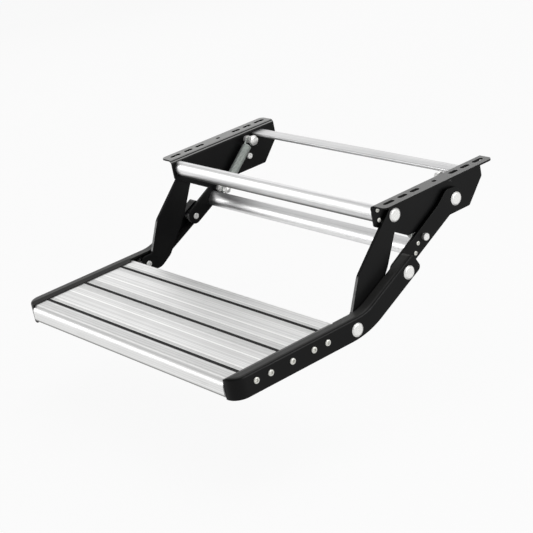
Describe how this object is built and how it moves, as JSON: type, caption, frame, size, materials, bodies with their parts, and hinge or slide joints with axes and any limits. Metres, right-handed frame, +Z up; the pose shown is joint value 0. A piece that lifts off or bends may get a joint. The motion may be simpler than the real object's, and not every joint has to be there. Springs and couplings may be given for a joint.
{
  "type": "pull-out caravan step",
  "caption": "Folding entrance step: wide ribbed tread in side rails, swung on paired arms from slotted under-floor flanges, with cross tubes and extension springs.",
  "frame": {"origin": "midway between the round centre holes of the two flanges, on the flanges' top faces", "axes": "+Z up out of the flanges' top faces, +X across, -Y towards the tread's front edge"},
  "size_m": [0.619, 0.5905, 0.1872],
  "materials": {
    "black_steel": "satin",
    "bare_aluminium": "satin",
    "zinc_steel": "bright",
    "black_rubber": "matte"
  },
  "bodies": {
    "frame": {"mount_bracket_left": "black_steel", "mount_bracket_right": "black_steel", "front_cross_tube": "bare_aluminium", "rear_cross_bar": "bare_aluminium", "front_tube_screws": "zinc_steel", "rear_bar_screws": "zinc_steel", "front_pivot_rivets": "zinc_steel", "rear_pivot_rivets": "zinc_steel", "pivot_washers": "zinc_steel", "upper_spring_bolts": "zinc_steel", "upper_spring_nuts": "zinc_steel"},
    "front_arms": {"front_arm_left": "black_steel", "front_arm_right": "black_steel"},
    "rear_arms": {"rear_arm_left": "black_steel", "rear_arm_right": "black_steel", "lower_cross_tube": "bare_aluminium", "lower_tube_screws": "zinc_steel", "rear_arm_studs": "zinc_steel", "lower_spring_bolts": "zinc_steel", "lower_spring_nuts": "zinc_steel"},
    "tread": {"tread_rail_left": "black_steel", "tread_rail_right": "black_steel", "tread_panel": "bare_aluminium", "anti_slip_strip_front": "black_rubber", "anti_slip_strip_middle": "black_rubber", "anti_slip_strip_rear": "black_rubber", "rail_screws_left": "zinc_steel", "rail_screws_right": "zinc_steel", "foot_rivets": "zinc_steel", "rail_rivets": "zinc_steel", "rail_spacers": "zinc_steel"},
    "springs": {"spring_left": "zinc_steel", "spring_right": "zinc_steel"}
  },
  "joints": [
    {"name": "front_arm_fold", "type": "hinge", "parent": "frame", "child": "front_arms", "pos_m": [0, -0.086, -0.0285], "axis": [1, 0, 0], "range_deg": [0, 76.5]},
    {"name": "rear_arm_fold", "type": "hinge", "parent": "frame", "child": "rear_arms", "pos_m": [0, 0.049, -0.05], "axis": [1, 0, 0], "range_deg": [0, 104.2]},
    {"name": "tread_fold", "type": "hinge", "parent": "front_arms", "child": "tread", "pos_m": [0, -0.218, -0.171], "axis": [1, 0, 0], "range_deg": [-90.34, 0]},
    {"name": "spring_swing", "type": "hinge", "parent": "frame", "child": "springs", "pos_m": [0, 0.05, -0.0165], "axis": [1, 0, 0], "range_deg": [0, 77.08], "deforming": ["spring_left", "spring_right"]}
  ],
  "couplings": [
    {"joint": "rear_arm_fold", "follows": "front_arm_fold", "ratio": 1.362},
    {"joint": "tread_fold", "follows": "front_arm_fold", "ratio": -1.1809},
    {"joint": "spring_swing", "follows": "front_arm_fold", "ratio": 1.0076}
  ]
}
